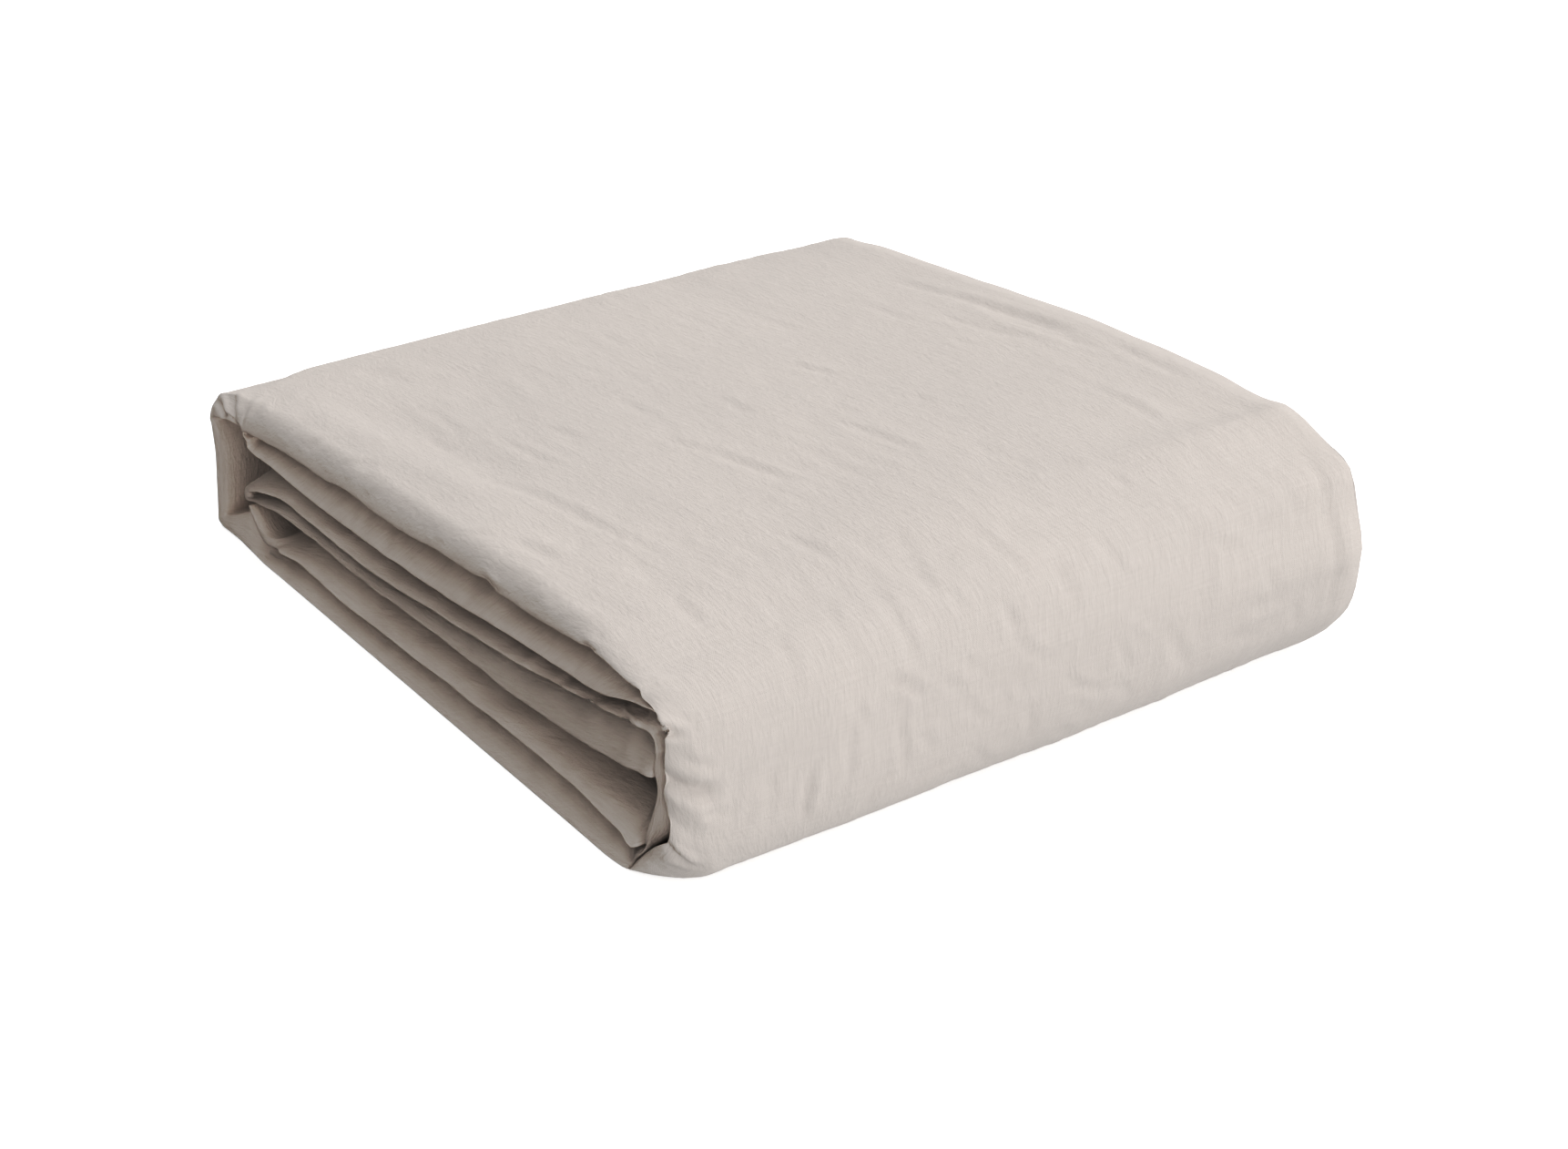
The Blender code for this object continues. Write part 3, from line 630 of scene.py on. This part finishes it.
# The same, sharper, round the near edge: v carries on below 0 round it.
EDGE_CREASES = (
    # the big fold's near corner: the pocket under the top's lip, the dimple, the hem's end
    (94, -7, 83, 6, 1.7, -2.3, 0), (98, -5, 89, 7, 2.4, 0.6, 0), (87, -2, 79, 12, 3.4, 0.6, 0.5),
    (68, -5, 58, 17, 3.2, -2.5, 1.0), (61, -2, 52, 14, 4.0, 0.9, 0.5), (49, -4, 41, 12, 3.6, -0.7, -0.5),
    (32, -6, 24, 6, 2.6, -1.2, 0), (20, -5, 22, 9, 2.2, 0.6, 0), (38, 0, 27, 10, 2.2, 0.6, 0.5),
    (13, -6, 12, 8, 2.4, -0.3, 0.5), (76, 4, 68, 16, 1.8, -0.6, 0.5), (55, 8, 47, 24, 2.0, -0.5, 0.5),
    (105, -2, 96, 12, 2.0, -0.5, 0.5), (113, 0, 106, 14, 2.2, 0.5, 0.5),
    # kinks in the top's lower lip
    (224, -3.2, 208, -4.8, 1.2, -0.9, 0.3), (219, -1.5, 209, -2.6, 1.4, 0.6, 0.2), (148, -2.2, 137, -1.0, 1.2, -1.0, 0.2),
    (146, 0.5, 138, 2.0, 1.4, 0.5, 0.2), (270, -2, 262, 6, 1.6, -0.5, 0.2), (330, -4, 318, 1, 1.6, -0.6, 0.2),
    (352, 2, 340, 12, 2.2, -0.5, 0.4), (386, 0, 372, 13, 2.2, -0.6, 0.6), (404, -3, 396, 7, 2.0, 0.6, 0.4),
    (186, -2, 176, 8, 2.0, -0.5, 0.4), (166, 0, 158, 10, 2.0, 0.5, 0.4), (250, 4, 236, 15, 2.6, -0.6, 0.6),
    # the near corner of the thin side
    (486, 4, 469, -5, 1.6, -1.2, 0.2), (480, 5, 463, -5, 1.6, 1.0, 0), (472, 8, 459, -4, 1.5, -1.0, 0.2),
    (466, 10, 450, -5, 2.0, 0.6, 0), (456, 12, 446, -2, 2.0, -0.5, 0.3),
    # pleats where the inner layers turn up beside the big fold
    (1021, 5.5, 998, -2.5, 1.3, 1.0, 0.4), (1015, 2, 1008, -1.2, 1.2, -0.8, 0), (1010, 7, 998, 2, 1.6, -0.8, 0),
    (991, -1.5, 982, 6, 2.2, -1.6, 0), (1040, -1, 1030, 9, 3.0, -0.8, 0.5), (1062, 0, 1056, 12, 4.0, -0.9, 0.5),
    (1090, 0, 1080, 12, 4.0, 0.8, 0.5), (1110, 0, 1100, 11, 3.0, -0.7, 0.5),
)
# How far the big fold's far end stands out or in: s, mm. It is faceted there, and not round.
FACETS = ((4, 0.0), (15, -1.4), (28, -3.2), (36, -2.6), (46, -2.0), (55, -1.0), (63, 0.6), (70, -0.4), (79, -2.4), (85, -2.1), (92, 0.5),
          (98, -1.2), (106, -2.8), (114, -2.0), (126, 0.4), (136, 0.5), (150, -1.8), (165, -2.4), (185, -1.2), (220, 0.0))


def creases(s, v, table):
    h = np.zeros(len(s))
    ds, dv = 1.3 * noise(s / 9, v / 9, 41), 1.1 * noise(s / 8, v / 8, 42)
    for s0, v0, s1, v1, width, height, bend in table:
        length = math.hypot(s1 - s0, v1 - v0)
        as_, av = (s1 - s0) / length, (v1 - v0) / length
        ps, pv = s + ds - s0, v + dv - v0
        t = (ps * as_ + pv * av) / length
        off = pv * as_ - ps * av - 4 * bend * t * (1 - t)
        if as_ < 0:
            off = -off
        near_ = (t > -0.15) & (t < 1.15) & (np.abs(off) < 4 * width)
        t, p = t[near_], off[near_] / width
        taper = ease((t + 0.1) / 0.4) * ease((1.1 - t) / 0.4)
        h[near_] += height * taper * (np.exp(-p * p) - 0.45 * np.exp(-((p - 1.8) / 1.2) ** 2) - 0.2 * np.exp(-((p + 1.8) / 1.2) ** 2))
    return h


def crumple(s, v):
    """Height of the cloth that shows, in mm. Its creases run mostly across the packet."""
    ws = s + 10 * noise(s / 60, v / 40, 11) + 3 * noise(s / 21, v / 17, 13)
    wv = v + 7 * noise(s / 70, v / 45, 12) + 2.2 * noise(s / 19, v / 15, 14)
    h = 0.75 * noise(ws / 120, wv / 70, 1) + 0.35 * noise(ws / 60, wv / 30, 2)
    patch = ease(0.5 + 0.9 * noise(s / 70, v / 55, 3))
    h += (0.25 + 0.5 * patch) * 0.55 * fold(ws / 52, wv / 15, 4)
    h += (0.2 + 0.8 * patch) * 0.42 * fold(ws / 27, wv / 8.5, 5)
    h += (0.13 + 0.1 * patch) * fold(ws / 15, wv / 6.0, 6, 0.1)
    return h


def displace(points):
    normal = vertex_normals(points)
    r, v, along = DATA["row"], DATA["v"], DATA["along"]
    s = S_OUT[r] - HEM
    h = np.zeros(len(points))
    shown = PART_ENDS[3]
    amount = ease((shown - 30 - r) / 30.0) * ease((r - 4) / 14.0)   # none on the underside
    amount *= 1 - 0.6 * ease((S_OUT[r] - S_OUT[PART_ENDS[2]]) / 40.0)
    face = KIND == FACE
    near = KIND == NEAR_KIND
    shape = crumple(s, along) + creases(s, along, CREASES)
    h[face] = (shape * amount)[face]
    w = DATA["x"] / np.maximum(THICK[r], 1e-6)
    edge = shape * amount * ease((w - 0.2) / 0.8)
    soft = 0.75 * noise(s / 24, w * 1.1 + v / 40, 31) + 0.4 * noise(s / 10, w * 1.6 + v / 20, 32) + 0.15 * noise(s / 5, w * 3, 33)
    edge += soft * ease(v / 5.0) * np.minimum(1, THICK[r] / 12) * FORM[r] * ease((1.05 - w) / 0.3)
    h[near] = edge[near]
    pinch = creases(s, along, EDGE_CREASES)
    h[near] += pinch[near]
    h[face] += (pinch * amount)[face]
    sign = 1.0 if np.mean(normal[face][:, 2][(DATA["row"][face] > PART_ENDS[0]) & (DATA["row"][face] < PART_ENDS[1])]) > 0 else -1.0
    points = points + normal * (sign * h)[:, None]
    # the plies behind the troughs give way with them
    behind = (KIND == INNER) | (KIND == TURN) | (KIND == FAR)
    give = np.minimum(0.0, (shape + pinch) * amount * 1.25 - 0.5)[behind] * w[behind]
    over = r[behind]
    reach = np.maximum(THICK[over], 1e-6)
    points[behind, 0] += (U_OUT - U_IN)[over] / reach * give
    points[behind, 2] += (Z_OUT - Z_IN)[over] / reach * give
    return points


POINTS = displace(place(DATA["x"], DATA["v"]))
POINTS[:, 2] =np.maximum(POINTS[:, 2], 0.0)

WEIGHT = np.clip(DATA["x"] / np.maximum(THICK[DATA["row"]], 1e-6), 0, 1)
FLAT = np.stack([((1 - WEIGHT) * S_IN[DATA["row"]] + WEIGHT * S_OUT[DATA["row"]]) * MM, DATA["y"] * MM], 1)


def cloth_mesh():
    mesh = bpy.data.meshes.new("sheet_cloth")
    co = (POINTS - np.array([SHIFT[0], SHIFT[1], 0.0])) * MM
    sizes = np.array([len(f) for f in FACES], np.int32)
    corner = np.concatenate([np.array(f) for f in FACES]).astype(np.int32)
    mesh.vertices.add(len(co))
    mesh.vertices.foreach_set("co", co.astype(np.float32).ravel())
    mesh.loops.add(len(corner))
    mesh.loops.foreach_set("vertex_index", corner)
    mesh.polygons.add(len(sizes))
    mesh.polygons.foreach_set("loop_start", np.concatenate([[0], np.cumsum(sizes)[:-1]]).astype(np.int32))
    mesh.polygons.foreach_set("loop_total", sizes)
    mesh.polygons.foreach_set("use_smooth", np.ones(len(sizes), bool))
    uv = mesh.uv_layers.new(name="flat")
    uv.data.foreach_set("uv", FLAT[corner].astype(np.float32).ravel())
    mesh.update(calc_edges=True)
    mesh.validate(verbose=False)
    return mesh


# ---------------------------------------------------------------- material
class Nodes:
    """Short way to write a node tree."""

    def __init__(self, tree):
        self.tree = tree

    def add(self, kind, settings=None, **inputs):
        node = self.tree.nodes.new(kind)
        for key, value in (settings or {}).items():
            setattr(node, key, value)
        for key, value in inputs.items():
            socket = node.inputs[int(key[1:])] if key[0] == "i" and key[1:].isdigit() else node.inputs[key.replace("_", " ")]
            if isinstance(value, bpy.types.NodeSocket):
                self.tree.links.new(value, socket)
            else:
                socket.default_value = value
        return node

    def math(self, operation, a, b=0.0, c=0.0, clamp=False):
        return self.add("ShaderNodeMath", {"operation": operation, "use_clamp": clamp}, i0=a, i1=b, i2=c).outputs[0]

    def mix(self, factor, a, b, blend="MIX"):
        node = self.tree.nodes.new("ShaderNodeMix")
        node.data_type = "RGBA"
        node.blend_type = blend
        for socket, value in ((node.inputs[0], factor), (node.inputs[6], a), (node.inputs[7], b)):
            if isinstance(value, bpy.types.NodeSocket):
                self.tree.links.new(value, socket)
            else:
                socket.default_value = value
        return node.outputs[2]

    def range(self, value, a, b, c, d):
        return self.add("ShaderNodeMapRange", {"clamp": True}, Value=value, From_Min=a, From_Max=b, To_Min=c, To_Max=d).outputs[0]


def cloth_material():
    material = bpy.data.materials.new("washed_cotton")
    material.use_nodes = True
    tree = material.node_tree
    shader = tree.nodes["Principled BSDF"]
    n = Nodes(tree)
    uv = n.add("ShaderNodeUVMap", {"uv_map": "flat"}).outputs[0]
    place_ = n.add("ShaderNodeTexCoord").outputs["Object"]

    def stretched(x, y, scale, detail=3.0, rough=0.55, source=uv):
        at = n.add("ShaderNodeVectorMath", {"operation": "MULTIPLY"}, i0=source, i1=(x, y, 1.0)).outputs[0]
        return n.add("ShaderNodeTexNoise", None, Vector=at, Scale=scale, Detail=detail, Roughness=rough).outputs[0]

    split = n.add("ShaderNodeSeparateXYZ", None, Vector=uv)
    s, t = split.outputs[0], split.outputs[1]
    # plain weave: warp and weft cross over and under, with a little drift and slubs in the yarn
    drift_s = stretched(30, 30, 1.0, 2.0)
    drift_t = stretched(34, 26, 1.0, 2.0)
    pitch = 2 * math.pi / 0.00078
    a = n.math("SINE", n.math("MULTIPLY_ADD", s, pitch, n.math("MULTIPLY", drift_s, 5.0)))
    b = n.math("SINE", n.math("MULTIPLY_ADD", t, pitch, n.math("MULTIPLY", drift_t, 5.0)))
    weave = n.math("MULTIPLY", a, b)
    slub_warp = stretched(1100, 60, 1.0, 2.0)
    slub_weft = stretched(60, 1100, 1.0, 2.0)
    slub = n.math("ADD", slub_warp, slub_weft)
    fibre = stretched(900, 900, 1.0, 4.0, 0.65)
    # colour: warm greige, uneven dye and wash
    patches = stretched(7, 9, 1.0, 4.0, 0.6)
    base = n.mix(n.range(patches, 0.3, 0.7, 0.0, 1.0), (0.655, 0.602, 0.566, 1), (0.690, 0.632, 0.592, 1))
    yarn = n.mix(n.range(slub, 0.7, 1.3, 0.0, 1.0), (0.955, 0.95, 0.945, 1), (1.03, 1.03, 1.03, 1))
    colour = n.mix(1.0, base, yarn, "MULTIPLY")
    gaps = n.mix(n.range(weave, -1.0, 1.0, 0.0, 1.0), (0.965, 0.96, 0.955, 1), (1.0, 1.0, 1.0, 1))
    colour = n.mix(1.0, colour, gaps, "MULTIPLY")
    tree.links.new(colour, shader.inputs["Base Color"])
    rough = n.range(fibre, 0.3, 0.7, 0.86, 0.97)
    tree.links.new(rough, shader.inputs["Roughness"])
    shader.inputs["Specular IOR Level"].default_value = 0.25
    shader.inputs["Sheen Weight"].default_value = 0.12
    shader.inputs["Sheen Roughness"].default_value = 0.5
    # bump: fine wrinkles, then yarn and weave
    fine = stretched(95, 260, 1.0, 4.0, 0.6)
    folded = n.math("ABSOLUTE", n.math("SUBTRACT", fine, 0.5))
    small = stretched(420, 520, 1.0, 3.0, 0.6)
    bump1 = n.add("ShaderNodeBump", None, Strength=0.75, Distance=0.0013, Height=folded).outputs[0]
    bump2 = n.add("ShaderNodeBump", None, Strength=0.6, Distance=0.0003, Height=small, Normal=bump1).outputs[0]
    height = n.math("MULTIPLY_ADD", weave, 0.5, n.math("MULTIPLY", slub, 0.7))
    bump3 = n.add("ShaderNodeBump", None, Strength=0.6, Distance=0.00012, Height=height, Normal=bump2).outputs[0]
    tree.links.new(bump3, shader.inputs["Normal"])
    return material


def floor_material():
    material = bpy.data.materials.new("studio_floor")
    material.use_nodes = True
    shader = material.node_tree.nodes["Principled BSDF"]
    shader.inputs["Base Color"].default_value = (0.93, 0.93, 0.93, 1)
    shader.inputs["Roughness"].default_value = 0.9
    shader.inputs["Specular IOR Level"].default_value = 0.1
    shader.inputs["Emission Color"].default_value = (1, 1, 1, 1)
    shader.inputs["Emission Strength"].default_value = 0.62
    return material


# ---------------------------------------------------------------- scene
def make_sheet():
    mesh = cloth_mesh()
    mesh.materials.append(cloth_material())
    sheet = bpy.data.objects.new("sheet_cloth", mesh)
    bpy.context.scene.collection.objects.link(sheet)
    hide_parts("fitted_sheet")
    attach(sheet, "root")
    return sheet


def make_floor():
    mesh = bpy.data.meshes.new("studio_floor")
    e = 6.0
    mesh.from_pydata([(-e, -e, 0), (e, -e, 0), (e, e, 0), (-e, e, 0)], [], [(0, 1, 2, 3)])
    mesh.materials.append(floor_material())
    floor = bpy.data.objects.new("studio_floor", mesh)
    bpy.context.scene.collection.objects.link(floor)
    floor.visible_diffuse = False


def make_camera():
    data = bpy.data.cameras.new("camera")
    data.sensor_fit = "HORIZONTAL"
    data.sensor_width = 36.0
    data.lens = 3209.25 / 1722 * 36.0
    data.clip_start, data.clip_end = 0.05, 50
    camera = bpy.data.objects.new("camera", data)
    bpy.context.scene.collection.objects.link(camera)
    right, up, back = (0.551175, 0.834390, 0.0), (-0.358221, 0.236651, 0.903147), (0.753581, -0.497786, 0.429332)
    place_ = (0.961317, -0.624542, 0.554386)
    camera.matrix_world = Matrix([[right[i], up[i], back[i], place_[i]] for i in range(3)] + [[0, 0, 0, 1]])
    bpy.context.scene.camera = camera


def area_light(name, place_, size, power, colour=(1, 1, 1)):
    data = bpy.data.lights.new(name, "AREA")
    data.shape = "DISK"
    data.size = size
    data.energy = power
    data.color = colour
    light = bpy.data.objects.new(name, data)
    bpy.context.scene.collection.objects.link(light)
    aim = np.array([0.0, 0.0, 0.04]) - np.array(place_)
    from_z = -aim / np.linalg.norm(aim)
    side = np.cross((0, 0, 1), from_z)
    side /= np.linalg.norm(side)
    up = np.cross(from_z, side)
    light.matrix_world = Matrix([[side[i], up[i], from_z[i], place_[i]] for i in range(3)] + [[0, 0, 0, 1]])
    return light


def make_light():
    world = bpy.data.worlds.new("studio")
    bpy.context.scene.world = world
    world.use_nodes = True
    n = Nodes(world.node_tree)
    background = world.node_tree.nodes["Background"]
    at = n.add("ShaderNodeTexCoord").outputs["Generated"]

    def lobe(x, y, z, power, strength):
        """Soft light from all round one direction."""
        size = math.sqrt(x * x + y * y + z * z)
        along = n.add("ShaderNodeVectorMath", {"operation": "DOT_PRODUCT"}, i0=at, i1=(x / size, y / size, z / size)).outputs["Value"]
        return n.math("MULTIPLY", n.math("POWER", n.math("MAXIMUM", along, 0.0), power), strength)

    value = n.math("ADD", lobe(0.85, 0.35, -0.36, 3.0, 1.5), lobe(-0.1, 0.7, 0.7, 2.0, 1.85))
    value = n.math("ADD", value, lobe(0.0, -0.45, 0.9, 4.0, 0.74))
    value = n.math("ADD", value, lobe(0.86, -0.5, 0.16, 6.0, 1.1))
    colour = n.mix(1.0, (1.0, 0.995, 0.985, 1), n.add("ShaderNodeCombineXYZ", None, X=value, Y=value, Z=value).outputs[0], "MULTIPLY")
    world.node_tree.links.new(colour, background.inputs["Color"])
    background.inputs["Strength"].default_value = 1.0
    area_light("key", (1.15, 0.55, 1.35), 1.0, 0.8)


def set_look():
    view = bpy.context.scene.view_settings
    view.view_transform = "Standard"
    view.look = "None"
    view.exposure = 0.0
    view.gamma = 1.0
    view.use_curve_mapping = True  # a little more contrast in the shade
    curve = view.curve_mapping.curves[3]
    for x, y in ((0.05, 0.016), (0.1, 0.041), (0.14, 0.076), (0.18, 0.13), (0.22, 0.203), (0.27, 0.28), (0.34, 0.353), (0.6, 0.6)):
        curve.points.new(x, y)
    view.curve_mapping.update()


make_camera()
make_sheet()
make_floor()
make_light()
set_look()
